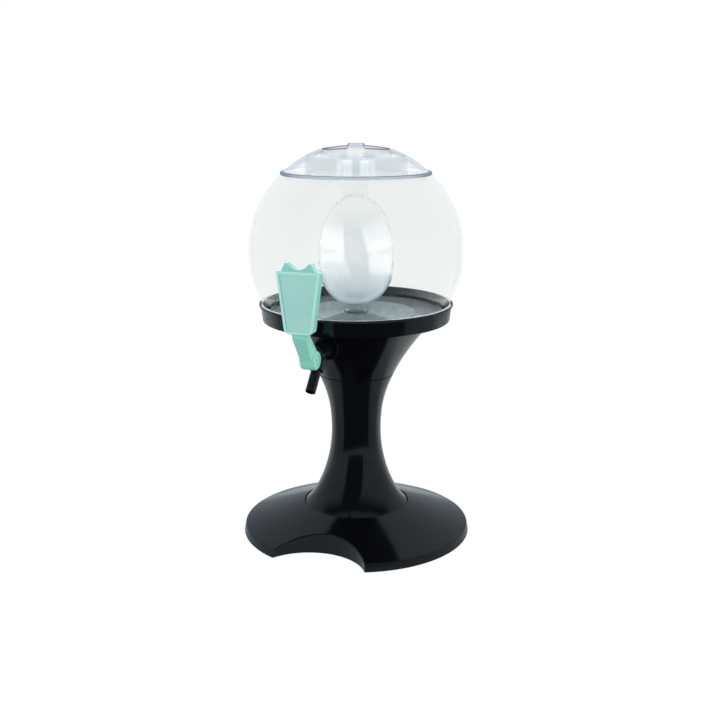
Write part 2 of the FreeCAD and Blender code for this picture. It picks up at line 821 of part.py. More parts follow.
def neck_block(front, foot):
    """The neck: a tapered bar that leans out from the hub to the foot of the plate."""
    side_view = [(hub_reach - 4.5, hub_height + 5.6), (hub_reach + 8.4, hub_height - 0.8),
                 (front - 1.6, foot - neck_toe), (front - 1.6, foot), (front - plate_thick, foot),
                 (front - plate_thick, foot - 1.4)]
    corners = [point(-neck_width, -reach, height) for reach, height in side_view]
    side = prism(corners, point(2 * neck_width, 0, 0))
    low = hub_height - hub_radius
    front_view = [(neck_hub_width / 2, low), (neck_width / 2, foot), (-neck_width / 2, foot),
                  (-neck_hub_width / 2, low)]
    face = prism([point(x, -front, z) for x, z in front_view], point(0, front, 0))
    return side.common(face)


def rear_sector():
    """The opening at the rear of the hub that clears the tongue and the stem through the swing."""
    upper = math.radians(180 - 52)
    lower = math.radians(180 + math.degrees(math.asin(tongue_radius / hub_cavity)) + lever_swing + 6)
    reach = hub_radius * 2.5
    middle = (upper + lower) / 2
    corners = [(0, 0)]
    for angle in (upper, middle, lower):
        corners.append((reach * math.cos(angle), reach * math.sin(angle)))
    width = tongue_width + 2 * tongue_gap
    face = [point(-width / 2, -(hub_reach + a), hub_height + b) for a, b in corners]
    return prism(face, point(width, 0, 0))


def make_handle_panel():
    front = hub_reach + plate_reach - panel_recess
    panel = plate_outline(border + panel_gap, front - panel_thickness, front)
    return panel


def make_pivot_pin():
    return cross_rod(pin_radius, hub_width / 2 - hub_recess, hub_reach, hub_height)


# Lid
def make_lid_ring():
    inner = globe_radius - lid_wall
    rim_radius_out = mouth_radius
    start = (rim_radius_out, lid_rim_top)
    on_dome = (sphere_radius_at(lid_rim_top) - 0.5, sphere_height_at(sphere_radius_at(lid_rim_top) - 0.5))
    hole_rim = (hole_inner + 0.2, sphere_height_at(hole_inner + 0.2))
    middle = (on_dome[0] + hole_rim[0]) / 2
    inner_hole = (hole_outer, sphere_height_at(hole_outer, inner))
    inner_rim_height = lid_rim_top + 1.2
    inner_rim = (sphere_radius_at(inner_rim_height, inner), inner_rim_height)
    inner_middle = (inner_hole[0] + inner_rim[0]) / 2
    return lathe((rim_radius_out - 0.4, lid_bottom), (rim_radius_out, lid_bottom + 0.4),
                 (rim_radius_out, lid_rim_top - 0.5), (rim_radius_out - 0.6, lid_rim_top), on_dome,
                 ("arc", (middle, sphere_height_at(middle)), hole_rim),
                 (hole_inner, hole_rim[1] - 0.3),
                 (hole_inner, lip_top), (cap_lip_inner, lip_top), (cap_lip_inner, lip_bottom),
                 (hole_outer, lip_bottom), inner_hole,
                 ("arc", (inner_middle, sphere_height_at(inner_middle, inner)), inner_rim),
                 (skirt_inner, inner_rim_height), (skirt_inner, lid_bottom - lid_skirt_depth),
                 (skirt_outer, lid_bottom - lid_skirt_depth), (skirt_outer, lid_bottom))


def make_lid_seal():
    high = lid_bottom - 0.6
    low = high - lid_seal_height
    lip = mouth_inner - 0.4
    return lathe((skirt_outer, low), (skirt_outer + 0.8, low), (lip, low + 0.8), (lip, high - 0.9),
                 (skirt_outer + 0.8, high), (skirt_outer, high))


def pocket_block(side, grow, floor):
    """A finger pocket: half a disc beside the bar, whose side slopes out towards its foot."""
    high = dome_top + 2.0
    column = disc(pocket_radius + grow, floor, high, side * pocket_centre)
    foot = bar_foot_width / 2 - grow
    top = bar_width / 2 - grow
    far = pocket_centre + pocket_radius + grow + 5
    corners = [point(side * foot, -far, floor - 1), point(side * far, -far, floor - 1),
               point(side * far, -far, high + 1), point(side * top, -far, high + 1)]
    pocket = column.common(prism(corners, point(0, 2 * far, 0)))
    pocket.rotate(point(0, 0, 0), point(0, 0, 1), grip_turn)
    return pocket


def make_grip_cap():
    inner = globe_radius - cap_wall
    edge = cap_radius - cap_edge_round
    middle = edge / 2
    outer = lathe((0, cup_top), (cap_radius, cup_top),
                  (cap_radius, sphere_height_at(edge) - cap_edge_round), (edge, sphere_height_at(edge)),
                  ("arc", (middle, sphere_height_at(middle)), (0, dome_top)))
    hollow_radius = sphere_radius_at(cup_top - 1, inner)
    middle = hollow_radius / 2
    hollow = lathe((0, cup_top - 1), (hollow_radius, cup_top - 1),
                   ("arc", (middle, sphere_height_at(middle, inner)), (0, dome_top - cap_wall)))
    kept = [pocket_block(side, cap_wall, cup_top - 2) for side in (-1, 1)]
    shell = outer.cut(cut(hollow, kept))
    return cut(shell, [pocket_block(side, 0, cup_top + cap_wall) for side in (-1, 1)])


def make_cap_cup():
    plate = disc(cap_radius, cup_under, cup_top)
    skirt = tube(cap_radius, cap_radius - cap_wall, cup_bottom, cup_top)
    boss_inner = core_neck_radius + 0.15
    boss = tube(boss_inner + core_boss_wall, boss_inner, cup_under - core_boss_length, cup_top)
    return fuse([plate, skirt, boss])


def make_cap_seal():
    return tube(cap_radius, cap_lip_inner + 0.4, lip_top, cup_bottom)


def make_ice_core():
    inner_radius = core_radius - core_wall
    inner_lower = core_lower - core_wall
    inner_upper = core_upper - core_wall
    neck_bore = core_neck_radius - core_neck_wall
    inner_shoulder = core_widest + inner_upper * math.sqrt(1 - (neck_bore / inner_radius) ** 2)
    lower = half_ellipse(core_radius, core_lower, -1)
    upper = half_ellipse(core_radius, core_upper, 1)
    egg = lower.fuse(upper)
    neck = disc(core_neck_radius, core_shoulder - 3, core_top)
    hollow = half_ellipse(inner_radius, inner_lower, -1).fuse(half_ellipse(inner_radius, inner_upper, 1))
    bore = disc(neck_bore, inner_shoulder - 3, core_top + 1)
    trimmed = egg.cut(tube(core_radius, core_neck_radius, core_shoulder, core_shoulder + core_upper))
    top_cut = disc(core_radius, core_top, core_top + core_upper)
    return cut(fuse([trimmed, neck]), [hollow, bore, top_cut])


def half_ellipse(radius, height, way):
    """Half an egg: turned from an exact quarter of an ellipse about the widest height."""
    curve = Part.BSplineCurve()
    weight = math.sqrt(0.5)
    poles = [profile_point((radius, core_widest)), profile_point((radius, core_widest + way * height)),
             profile_point((0, core_widest + way * height))]
    curve.buildFromPolesMultsKnots(poles, [3, 3], [0.0, 1.0], False, 2, [1.0, weight, 1.0])
    centre = profile_point((0, core_widest))
    edges = [curve.toShape(), Part.makeLine(poles[2], centre), Part.makeLine(centre, poles[0])]
    solid = Part.Face(Part.Wire(edges)).revolve(point(0, 0, 0), point(0, 0, 1), 360)
    if solid.Volume < 0:
        solid.reverse()
    return solid


def make_core_seal():
    return tube(core_neck_radius - 0.1, core_neck_radius - core_neck_wall, core_top, cup_under)


save("base_shell", make_base_shell())
save("base_plate", make_base_plate())
save("rubber_feet", make_rubber_feet())
save("base_screws", make_base_screws())
save("column", make_column())
save("column_screws", make_column_screws())
save("funnel", make_funnel())
save("collar", make_collar())
save("collar_screws", make_collar_screws())
save("seat_pad", make_seat_pad())
save("globe", make_globe())
save("globe_seal", make_globe_seal())
save("outlet_chamber", make_outlet_chamber())
save("chamber_screws", make_chamber_screws())
save("tap_body", make_tap_body())
save("shank_seal", make_shank_seal())
save("tap_gasket", make_tap_gasket())
save("tap_washer", make_tap_washer())
save("tap_nut", make_tap_nut())
save("spout", make_spout())
save("tap_bonnet", make_tap_bonnet())
save("stem_seal", make_stem_seal())
save("valve_stem", make_valve_stem())
save("valve_seal", make_valve_seal())
save("lever", make_lever())
save("handle_panel", make_handle_panel())
save("pivot_pin", make_pivot_pin())
save("lid_ring", make_lid_ring())
save("lid_seal", make_lid_seal())
save("grip_cap", make_grip_cap())
save("cap_cup", make_cap_cup())
save("cap_seal", make_cap_seal())
save("ice_core", make_ice_core())
save("core_seal", make_core_seal())
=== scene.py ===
import math

import bmesh
import bpy
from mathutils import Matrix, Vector


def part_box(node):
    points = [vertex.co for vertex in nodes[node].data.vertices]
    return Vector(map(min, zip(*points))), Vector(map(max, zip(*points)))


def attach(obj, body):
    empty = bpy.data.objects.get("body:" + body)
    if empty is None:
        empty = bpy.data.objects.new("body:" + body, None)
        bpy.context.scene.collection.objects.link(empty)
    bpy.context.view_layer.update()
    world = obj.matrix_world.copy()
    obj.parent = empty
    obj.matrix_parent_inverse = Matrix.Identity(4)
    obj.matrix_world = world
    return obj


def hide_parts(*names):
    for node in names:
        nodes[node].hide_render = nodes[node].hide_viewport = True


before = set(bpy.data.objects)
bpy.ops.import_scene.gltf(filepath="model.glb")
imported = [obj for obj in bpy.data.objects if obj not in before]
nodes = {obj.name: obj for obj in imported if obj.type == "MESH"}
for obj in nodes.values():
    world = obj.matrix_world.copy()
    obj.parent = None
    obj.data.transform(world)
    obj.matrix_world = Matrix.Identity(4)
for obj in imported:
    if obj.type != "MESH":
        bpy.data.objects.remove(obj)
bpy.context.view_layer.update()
print("frame loaded,", len(nodes), "nodes")


# Helpers for node trees

def addNode(tree, kind, spot=(0, 0), **values):
    node = tree.nodes.new(kind)
    node.location = spot
    for name, value in values.items():
        if name in node.inputs:
            node.inputs[name].default_value = value
        else:
            setattr(node, name, value)
    return node


def join(tree, source, target):
    tree.links.new(source, target)


def mathNode(tree, operation, spot, *values):
    node = addNode(tree, "ShaderNodeMath", spot, operation=operation)
    for socket, value in zip(node.inputs, values):
        if isinstance(value, (int, float)):
            socket.default_value = value
        else:
            join(tree, value, socket)
    return node.outputs[0]


def opposite(tree, share, spot):
    return mathNode(tree, "SUBTRACT", spot, 1.0, share)


def mixColours(tree, share, first, second, spot):
    mix = addNode(tree, "ShaderNodeMix", spot, data_type="RGBA")
    join(tree, share, mix.inputs[0])
    for socket, value in ((mix.inputs[6], first), (mix.inputs[7], second)):
        if isinstance(value, tuple):
            socket.default_value = (*value, 1)
        else:
            join(tree, value, socket)
    return mix.outputs[2]


def softStep(tree, value, low, high, spot):      # falls from 1 to 0 where low is above high
    step = addNode(tree, "ShaderNodeMapRange", spot, interpolation_type="SMOOTHSTEP")
    step.inputs["From Min"].default_value = low
    step.inputs["From Max"].default_value = high
    join(tree, value, step.inputs["Value"])
    return step.outputs["Result"]


def softEdge(tree, value, middle, width, spot):
    return softStep(tree, value, middle - width, middle + width, spot)


def along(tree, direction, axis, spot):
    dot = addNode(tree, "ShaderNodeVectorMath", spot, operation="DOT_PRODUCT")
    dot.inputs[1].default_value = axis
    join(tree, direction, dot.inputs[0])
    return dot.outputs["Value"]


def objectPlace(tree, spot):
    return addNode(tree, "ShaderNodeTexCoord", spot).outputs["Object"]


def splitPlace(tree, place, spot):
    split = addNode(tree, "ShaderNodeSeparateXYZ", spot)
    join(tree, place, split.inputs[0])
    return split.outputs


def distanceFrom(tree, place, point, spot):
    distance = addNode(tree, "ShaderNodeVectorMath", spot, operation="DISTANCE")
    distance.inputs[1].default_value = point
    join(tree, place, distance.inputs[0])
    return distance.outputs["Value"]


def distanceFromAxis(tree, place, spot):
    level = addNode(tree, "ShaderNodeVectorMath", spot, operation="MULTIPLY")
    level.inputs[1].default_value = (1, 1, 0)
    join(tree, place, level.inputs[0])
    return distanceFrom(tree, level.outputs[0], (0, 0, 0), (spot[0] + 160, spot[1]))


# Camera, at the photograph's angle

view = {
    "azimuth": 20.2,       # degrees round from the tap's side
    "distance": 1.0779,
    "height": 0.4508,
    "pitch": 13.99,
    "sideStep": 0.0039,    # the stand's axis is this far left of the picture's middle
    "lens": 54.025,
    "sensor": 36,
}
turn = math.radians(view["azimuth"])
front = Vector((math.sin(turn), -math.cos(turn), 0))
right = Vector((math.cos(turn), math.sin(turn), 0))
up = Vector((0, 0, 1))


def addCamera():
    data = bpy.data.cameras.new("camera")
    data.lens = view["lens"]
    data.sensor_width = view["sensor"]
    data.clip_start = 0.05
    camera = bpy.data.objects.new("camera", data)
    bpy.context.scene.collection.objects.link(camera)
    camera.location = front * view["distance"] + right * view["sideStep"] + up * view["height"]
    camera.rotation_euler = (math.radians(90 - view["pitch"]), 0, turn)
    bpy.context.scene.camera = camera


addCamera()
print("camera placed")


# Studio: a white sweep all round, a dim room in front of the tap, a tall bright panel each side

studio = {
    "roomLight": 0.62,                # what a matt surface gets from all round
    "dark": (0.030, 0.036, 0.055),    # what gloss sees in front of the tap and above
    "panel": (0.36, 0.41, 0.46),      # what gloss sees in the panels
    "deepPanel": (0.035, 0.042, 0.052),  # and sees in them by way of another glossy face
    "top": (0.24, 0.31, 0.40),        # what gloss sees overhead
    "topFrom": (0.80, 0.92),          # sine of the elevation where that begins
    "inside": (0.66, 0.70, 0.75),     # the dark part again, where gloss is seen through a clear wall
    "insidePanel": (2.3, 2.32, 2.34),  # and the panels
    "deepInside": (0.74, 0.79, 0.86),  # and where light has turned more than once in a clear piece
    "rightLean": 24.6,                # degrees that the inner edge of a panel leans
    "rightReach": 0.52,               # how far a panel comes round to the front
    "leftLean": 17.3,
    "leftReach": 0.63,
    "panelEdge": 0.03,                # how softly the panels end
    "panelTop": (0.42, 0.77),         # sine of the elevation where the panels fade out, in front
    "frontFade": (-0.35, 0.10),       # behind the object they don't
    "lampAim": 0.25,                  # height that the lamps point at
    "lamps": [
        # azimuth from the camera, distance, height of the middle, width, tall, radiance
        ("lampRight", 68, 1.10, 0.56, 1.05, 1.05, 1.6),
        ("lampLeft", -70, 1.10, 0.50, 0.90, 0.80, 2.0),
        ("lampTop", 160, 1.30, 1.40, 1.20, 0.60, 1.0),
    ],
}
ground = {                            # the floor
    "radius": 6,
    "paint": 0.9,                     # the floor's own white
    "returned": 0.75,                 # share of it that a matt surface gets back from the floor
    "white": 0.9,                     # share of the floor that is plain white, the rest takes the shadow
    "level": 1.06,                    # how bright that white is
    "sides": (0.30, 0.34, 0.38),      # what gloss sees of the floor to the left and right
    "frontAngle": 58,                 # degrees, nearer to straight ahead it sees the dark room
    "frontEdge": 0.04,
    "behind": (0.60, 0.68, 0.67),     # what gloss sees of it behind the object
    "behindFrom": (0.15, 0.5),        # cosine from straight behind where that begins
    "close": (0.34, 0.42, 0.46),      # what gloss sees of it close by
    "closeReach": (0.09, 0.14),       # length of the ray from the gloss to the floor
    "far": (0.42, 0.47, 0.50),        # what gloss sees of it outside a wide circle
    "farRadius": 1.05,
    "farEdge": 0.02,
    "farShift": -0.32,                # the circle's middle, along the picture's right
    "inside": (1.25, 1.26, 1.27),     # what gloss behind a clear wall sees of it
    "insideReach": (0.62, 1.25),      # distance from the circle's middle where that begins
    "insideAngle": 36,                # but not nearer than this to straight ahead
    "insideEdge": 0.05,
}


def rayKind(tree, label, spot, turns=0.5):
    path = addNode(tree, "ShaderNodeLightPath", spot)
    return mathNode(tree, "GREATER_THAN", (spot[0] + 180, spot[1]), path.outputs[label], turns)


def panelMask(tree, direction, side, lean, reach, spot):
    tilt = math.radians(lean)
    axis = side * (right * math.cos(tilt) + up * math.sin(tilt)) - front * reach
    ahead = along(tree, direction, axis, spot)
    return softEdge(tree, ahead, 0, studio["panelEdge"], (spot[0] + 180, spot[1]))


def makeWorld():
    world = bpy.data.worlds.new("studio")
    bpy.context.scene.world = world
    world.use_nodes = True
    tree = world.node_tree
    tree.nodes.clear()
    direction = addNode(tree, "ShaderNodeTexCoord", (-1500, 0)).outputs["Generated"]
    rightPanel = panelMask(tree, direction, 1, studio["rightLean"], studio["rightReach"], (-1200, 200))
    leftPanel = panelMask(tree, direction, -1, studio["leftLean"], studio["leftReach"], (-1200, 0))
    panels = mathNode(tree, "MAXIMUM", (-800, 100), rightPanel, leftPanel)
    rise = along(tree, direction, up, (-1200, -200))
    high = softStep(tree, rise, *studio["panelTop"], (-1000, -200))
    ahead = along(tree, direction, front, (-1200, -400))
    ahead = softStep(tree, ahead, *studio["frontFade"], (-1000, -400))
    low = opposite(tree, mathNode(tree, "MULTIPLY", (-900, -300), high, ahead), (-800, -200))
    bright = mathNode(tree, "MULTIPLY", (-600, 0), panels, low)
    again = rayKind(tree, "Glossy Depth", (-620, -620), 1.5)
    shown = mixColours(tree, again, studio["panel"], studio["deepPanel"], (-480, 240))
    outside = mixColours(tree, bright, studio["dark"], shown, (-380, 120))
    overhead = softStep(tree, rise, *studio["topFrom"], (-1000, 400))
    overhead = mathNode(tree, "MULTIPLY", (-480, 400), overhead, opposite(tree, again, (-560, 480)))
    outside = mixColours(tree, overhead, outside, studio["top"], (-300, 200))
    inside = mixColours(tree, bright, studio["inside"], studio["insidePanel"], (-380, -120))
    inside = mixColours(tree, again, inside, studio["deepInside"], (-260, -240))
    clear = rayKind(tree, "Transmission Depth", (-620, -420))
    gloss = mixColours(tree, clear, outside, inside, (-160, 0))
    glossy = rayKind(tree, "Glossy Depth", (-620, 520))
    matt = rayKind(tree, "Diffuse Depth", (-620, 760))
    seen = mixColours(tree, glossy, (1.0, 1.0, 1.0), gloss, (40, 60))
    seen = mixColours(tree, matt, seen, (studio["roomLight"],) * 3, (220, 60))
    background = addNode(tree, "ShaderNodeBackground", (420, 60))
    join(tree, seen, background.inputs["Color"])
    out = addNode(tree, "ShaderNodeOutputWorld", (620, 60))
    join(tree, background.outputs[0], out.inputs["Surface"])


def floorInGloss(tree):
    place = objectPlace(tree, (-1500, 0))
    away = addNode(tree, "ShaderNodeVectorMath", (-1300, 0), operation="NORMALIZE")
    join(tree, place, away.inputs[0])
    ahead = along(tree, away.outputs[0], front, (-1100, 0))
    astern = along(tree, away.outputs[0], -front, (-1100, 160))
    fromMiddle = distanceFrom(tree, place, right * ground["farShift"], (-1300, -300))
    behind = softStep(tree, astern, *ground["behindFrom"], (-900, 160))
    colour = mixColours(tree, behind, ground["sides"], ground["behind"], (-820, 60))
    cosine = math.cos(math.radians(ground["frontAngle"]))
    inFront = softEdge(tree, ahead, cosine, ground["frontEdge"], (-900, 0))
    colour = mixColours(tree, inFront, colour, studio["dark"], (-680, 0))
    reach = addNode(tree, "ShaderNodeLightPath", (-1300, -500)).outputs["Ray Length"]
    beyond = softStep(tree, reach, *ground["closeReach"], (-1100, -500))
    colour = mixColours(tree, beyond, ground["close"], colour, (-560, -160))
    far = softEdge(tree, fromMiddle, ground["farRadius"], ground["farEdge"], (-1100, -300))
    colour = mixColours(tree, far, colour, ground["far"], (-460, -60))
    cosine = math.cos(math.radians(ground["insideAngle"]))
    inFront = softEdge(tree, ahead, cosine, ground["insideEdge"], (-900, -700))
    lit = softStep(tree, fromMiddle, *ground["insideReach"], (-900, -900))
    lit = mathNode(tree, "MULTIPLY", (-700, -800), lit, opposite(tree, inFront, (-800, -700)))
    clear = rayKind(tree, "Transmission Depth", (-900, -1100))
    lit = mathNode(tree, "MULTIPLY", (-560, -800), lit, clear)
    colour = mixColours(tree, lit, colour, ground["inside"], (-400, -400))
    path = addNode(tree, "ShaderNodeLightPath", (-1100, 700)).outputs
    turns = mathNode(tree, "SUBTRACT", (-900, 600), path["Glossy Depth"], path["Transmission Depth"])
    again = mathNode(tree, "GREATER_THAN", (-700, 600), turns, 1.5)
    return mixColours(tree, again, colour, studio["deepPanel"], (-360, -160))


def makeFloor():
    mesh = bpy.data.meshes.new("floor")
    bm = bmesh.new()
    bmesh.ops.create_circle(bm, cap_ends=True, segments=96, radius=ground["radius"])
    bm.to_mesh(mesh)
    bm.free()
    floor = bpy.data.objects.new("floor", mesh)
    bpy.context.scene.collection.objects.link(floor)
    material = bpy.data.materials.new("paleFloor")
    material.use_nodes = True
    tree = material.node_tree
    tree.nodes.clear()
    glossy = rayKind(tree, "Glossy Depth", (-900, 500))
    matt = rayKind(tree, "Diffuse Depth", (-900, 700))
    seen = mixColours(tree, glossy, (ground["level"],) * 3, floorInGloss(tree), (-260, 100))
    shine = addNode(tree, "ShaderNodeEmission", (-60, 60))
    join(tree, seen, shine.inputs["Color"])
    white = ground["paint"]
    dimmed = mixColours(tree, matt, (white,) * 3, (white * ground["returned"],) * 3, (-260, -160))
    paint = addNode(tree, "ShaderNodeBsdfDiffuse", (-60, -160))
    join(tree, dimmed, paint.inputs["Color"])
    plain = mathNode(tree, "MAXIMUM", (-460, 420), glossy, ground["white"])
    share = mathNode(tree, "MULTIPLY", (-260, 420), plain, opposite(tree, matt, (-460, 620)))
    mix = addNode(tree, "ShaderNodeMixShader", (180, 0))
    join(tree, share, mix.inputs[0])
    join(tree, paint.outputs[0], mix.inputs[1])
    join(tree, shine.outputs[0], mix.inputs[2])
    out = addNode(tree, "ShaderNodeOutputMaterial", (420, 0))
    join(tree, mix.outputs[0], out.inputs["Surface"])
    mesh.materials.append(material)


def addLamps():
    aim = Vector((0, 0, studio["lampAim"]))
    for name, azimuth, distance, height, width, tall, radiance in studio["lamps"]:
        data = bpy.data.lights.new(name, "AREA")
        data.shape = "RECTANGLE"
        data.size = width
        data.size_y = tall
        data.energy = radiance * math.pi * width * tall
        lamp = bpy.data.objects.new(name, data)
        bpy.context.scene.collection.objects.link(lamp)
        angle = math.radians(view["azimuth"] + azimuth)
        lamp.location = (distance * math.sin(angle), -distance * math.cos(angle), height)
        lamp.rotation_euler = (aim - lamp.location).to_track_quat("-Z", "Y").to_euler()
        lamp.visible_glossy = False
        lamp.visible_transmission = False
        lamp.visible_camera = False


makeWorld()
makeFloor()
addLamps()
scene = bpy.context.scene
scene.view_settings.view_transform = "Standard"
scene.cycles.max_bounces = 48
scene.cycles.transmission_bounces = 48
scene.cycles.glossy_bounces = 12
print("studio lit")


# Shader groups that several finishes share

def newGroup(name, inputs, output):
    group = bpy.data.node_groups.new(name, "ShaderNodeTree")
    for label, value in inputs:
        socket = group.interface.new_socket(name=label, in_out="INPUT", socket_type="NodeSocketFloat")
        socket.default_value = value
    group.interface.new_socket(name=output, in_out="OUTPUT", socket_type="NodeSocketFloat")
    return group, addNode(group, "NodeGroupInput", (-800, 0)), addNode(group, "NodeGroupOutput", (600, 0))


def makeMouldSkin():
    inputs = [("Ripple Scale", 40.0), ("Ripple", 1.0), ("Grain Scale", 1800.0), ("Grain", 0.1)]
    group, source, out = newGroup("mouldSkin", inputs, "Height")
    place = objectPlace(group, (-800, 300))
    ripple = addNode(group, "ShaderNodeTexNoise", (-500, 200), Detail=1.0)
    grain = addNode(group, "ShaderNodeTexNoise", (-500, -100), Detail=2.0)
    for node, scale in ((ripple, "Ripple Scale"), (grain, "Grain Scale")):
        join(group, place, node.inputs["Vector"])
        join(group, source.outputs[scale], node.inputs["Scale"])
    rippled = mathNode(group, "MULTIPLY", (-200, 200), ripple.outputs[0], source.outputs["Ripple"])
    total = mathNode(group, "MULTIPLY_ADD", (100, 0), grain.outputs[0], source.outputs["Grain"], rippled)
    join(group, total, out.inputs["Height"])
    return group


def makeHandling():
    inputs = [("Scale", 30.0), ("Low", 0.1), ("High", 0.2)]
    group, source, out = newGroup("handlingMarks", inputs, "Roughness")
    cloud = addNode(group, "ShaderNodeTexNoise", (-500, 100), Detail=4.0, Roughness=0.6)
    join(group, objectPlace(group, (-800, 300)), cloud.inputs["Vector"])
    join(group, source.outputs["Scale"], cloud.inputs["Scale"])
    spread = addNode(group, "ShaderNodeMapRange", (-200, 100))
    spread.inputs["From Min"].default_value = 0.35
    spread.inputs["From Max"].default_value = 0.7
    join(group, cloud.outputs[0], spread.inputs["Value"])
    join(group, source.outputs["Low"], spread.inputs["To Min"])
    join(group, source.outputs["High"], spread.inputs["To Max"])
    join(group, spread.outputs[0], out.inputs["Roughness"])
    return group


mouldSkin = makeMouldSkin()
handlingMarks = makeHandling()


def setInputs(node, values):
    for label, value in values.items():
        node.inputs[label.replace("_", " ")].default_value = value


def placeGroup(tree, group, spot, **values):
    node = addNode(tree, "ShaderNodeGroup", spot)
    node.node_tree = group
    setInputs(node, values)
    return node


# Finishes

moulding = {
    "marks": 26.0,         # scale of the handling marks
    "clouds": 14.0,        # scale of the faint changes of tone
    "press": 0.0006,       # height of ripple and grain
}


def plastic(name, colour, roughness, ripple=0.4, grain=0.02, bump=0.15, colourShift=0.06, **sockets):
    material = bpy.data.materials.new(name)
    material.use_nodes = True
    tree = material.node_tree
    tree.nodes.clear()
    shader = addNode(tree, "ShaderNodeBsdfPrincipled", (0, 0))
    out = addNode(tree, "ShaderNodeOutputMaterial", (300, 0))
    join(tree, shader.outputs[0], out.inputs["Surface"])
    setInputs(shader, sockets)
    low, high = roughness
    marks = placeGroup(tree, handlingMarks, (-500, -100), Scale=moulding["marks"], Low=low, High=high)
    join(tree, marks.outputs[0], shader.inputs["Roughness"])
    skin = placeGroup(tree, mouldSkin, (-500, -400), Ripple=ripple, Grain=grain)
    press = addNode(tree, "ShaderNodeBump", (-240, -400), Strength=bump, Distance=moulding["press"])
    join(tree, skin.outputs[0], press.inputs["Height"])
    join(tree, press.outputs[0], shader.inputs["Normal"])
    cloud = addNode(tree, "ShaderNodeTexNoise", (-800, 200), Scale=moulding["clouds"], Detail=3.0)
    join(tree, objectPlace(tree, (-1000, 200)), cloud.inputs["Vector"])
    tones = addNode(tree, "ShaderNodeValToRGB", (-600, 200))
    deep, pale = tones.color_ramp.elements
    deep.position, pale.position = 0.3, 0.7
    deep.color = (*(part * (1 - colourShift) for part in colour), 1)
    pale.color = (*(min(1, part * (1 + colourShift)) for part in colour), 1)
    join(tree, cloud.outputs[0], tones.inputs[0])
    join(tree, tones.outputs[0], shader.inputs["Base Color"])
    return material


def shaderOf(material):
    return next(node for node in material.node_tree.nodes if node.type == "BSDF_PRINCIPLED")


def paintOver(material, share, colour, spot):
    base = shaderOf(material).inputs["Base Color"]
    mixed = mixColours(material.node_tree, share, base.links[0].from_socket, colour, spot)
    join(material.node_tree, mixed, base)


seam = {
    "top": 0.1703,
    "height": 0.0013,
    "edge": 0.0002,
    "dull": 1.0,        # roughness in the seam, where dust and shade collect
}


def seamPlastic(name, colour, roughness):
    material = plastic(name, colour, roughness, IOR=1.5)
    tree = material.node_tree
    rough = shaderOf(material).inputs["Roughness"]
    height = splitPlace(tree, objectPlace(tree, (-1200, 500)), (-1000, 500))[2]
    groove = softEdge(tree, height, seam["top"] - seam["height"], seam["edge"], (-800, 500))
    spread = addNode(tree, "ShaderNodeMapRange", (-300, 60))
    spread.inputs["To Max"].default_value = seam["dull"]
    join(tree, groove, spread.inputs["Value"])
    join(tree, rough.links[0].from_socket, spread.inputs["To Min"])
    join(tree, spread.outputs[0], rough)
    return material


tray = {
    "wall": 0.0028,
    "edge": 0.0004,
    "floorFacing": (0.4, 0.7),           # how far up a face looks where it takes the painted light
    "tone": (0.066, 0.108, 0.130),       # painted light: the black inside it, lightened for the light that the ball throws down
}


def trayPlastic(name, colour, roughness):
    material = plastic(name, colour, roughness, IOR=1.5)
    tree = material.node_tree
    place = addNode(tree, "ShaderNodeTexCoord", (-1300, 500)).outputs
    reach = distanceFromAxis(tree, place["Object"], (-1060, 500))
    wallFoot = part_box("collar")[1][0] - tray["wall"]
    within = softEdge(tree, reach, wallFoot, -tray["edge"], (-700, 500))
    facing = splitPlace(tree, place["Normal"], (-1000, 800))[2]
    level = softStep(tree, facing, *tray["floorFacing"], (-700, 800))
    # painted light: up-facing faces inside the collar's wall take the lighter tone
    paintOver(material, mathNode(tree, "MULTIPLY", (-500, 600), within, level), tray["tone"], (-300, 300))
    return material


leverPaintedLight = {
    "rim": (0.47, 0.88, 0.80),       # painted highlight: the raised border of the plate, paler where it catches the light
    "rimDepth": 0.0007,
    "rimEdge": 0.0004,
    "neck": (0.285, 0.73, 0.60),     # painted light and shade: everything below the plate, its colour tuned to the dim light from below
    "plateFoot": (0.2389, 0.2399),
}


def leverPlastic(name, colour, roughness):
    material = plastic(name, colour, roughness, bump=0.1)
    tree = material.node_tree
    y, z = splitPlace(tree, objectPlace(tree, (-1200, 500)), (-1000, 500))[1:]
    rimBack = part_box("lever")[0][1] + leverPaintedLight["rimDepth"]
    rimHighlight = softEdge(tree, y, rimBack, -leverPaintedLight["rimEdge"], (-800, 500))
    below = softStep(tree, z, *reversed(leverPaintedLight["plateFoot"]), (-800, 700))
    # painted highlight on the front of the plate's raised border
    paintOver(material, rimHighlight, leverPaintedLight["rim"], (-400, 400))
    # painted light and shade below the plate
    paintOver(material, below, leverPaintedLight["neck"], (-200, 400))
    return material


def clearPlastic(name, colour, edgeColour, ior=1.0, edge=(0.62, 1.0), wayOut=None, **sockets):
    material = plastic(name, colour, (0.0, 0.02), ripple=0.6, grain=0.0, bump=0.04, colourShift=0.01,
                       Transmission_Weight=1.0, IOR=ior, **sockets)
    tree = material.node_tree
    # painted shade: faces seen edge-on take edgeColour, partly the longer way through the plastic, partly
    # the dark look that a clear edge takes from what it bends and reflects
    facing = addNode(tree, "ShaderNodeLayerWeight", (-600, 480), Blend=0.5).outputs["Facing"]
    paintOver(material, softStep(tree, facing, *edge, (-400, 480)), edgeColour, (-200, 300))
    if wayOut:
        # faces seen from behind take wayOut instead, so the painted shade shows on the near side only
        leaving = addNode(tree, "ShaderNodeNewGeometry", (-400, 700)).outputs["Backfacing"]
        paintOver(material, leaving, wayOut, (-100, 500))
    return material


def barPlace(tree, spot):      # the cap is turned so that its bar runs away from the camera
    turned = addNode(tree, "ShaderNodeMapping", spot)
    turned.inputs["Rotation"].default_value = (0, 0, -turn)
    join(tree, objectPlace(tree, (spot[0] - 200, spot[1])), turned.inputs["Vector"])
    return turned.outputs[0]


